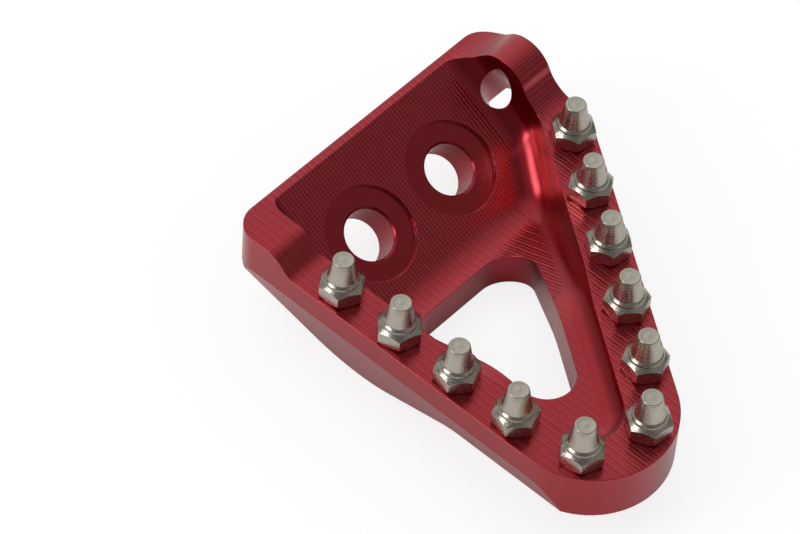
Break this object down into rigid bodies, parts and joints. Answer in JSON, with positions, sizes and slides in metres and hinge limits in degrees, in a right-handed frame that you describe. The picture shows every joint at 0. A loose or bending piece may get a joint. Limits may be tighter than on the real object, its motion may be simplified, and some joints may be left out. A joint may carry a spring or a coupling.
{
  "type": "brake pedal tip",
  "caption": "Skeletal brake pedal tip with rails that meet in a round nose, cone studs for grip, a slanted mounting pad with screw holes and a window through the web.",
  "frame": {"origin": "middle of the slanted mounting face under the pad, between the screw holes", "axes": "+Z the way the studs point, +Y towards the straight mounting edge, -Y towards the round nose, +X towards the humped ear"},
  "size_m": [0.0443, 0.0573, 0.0179],
  "materials": {
    "plate": "satin red anodised, machined",
    "studs": "turned and plain"
  },
  "bodies": {
    "root": {"tip_plate": "plate", "stud_left_1": "studs", "stud_left_2": "studs", "stud_left_3": "studs", "stud_left_4": "studs", "stud_left_5": "studs", "stud_right_1": "studs", "stud_right_2": "studs", "stud_right_3": "studs", "stud_right_4": "studs", "stud_right_5": "studs", "stud_right_6": "studs"}
  },
  "joints": []
}
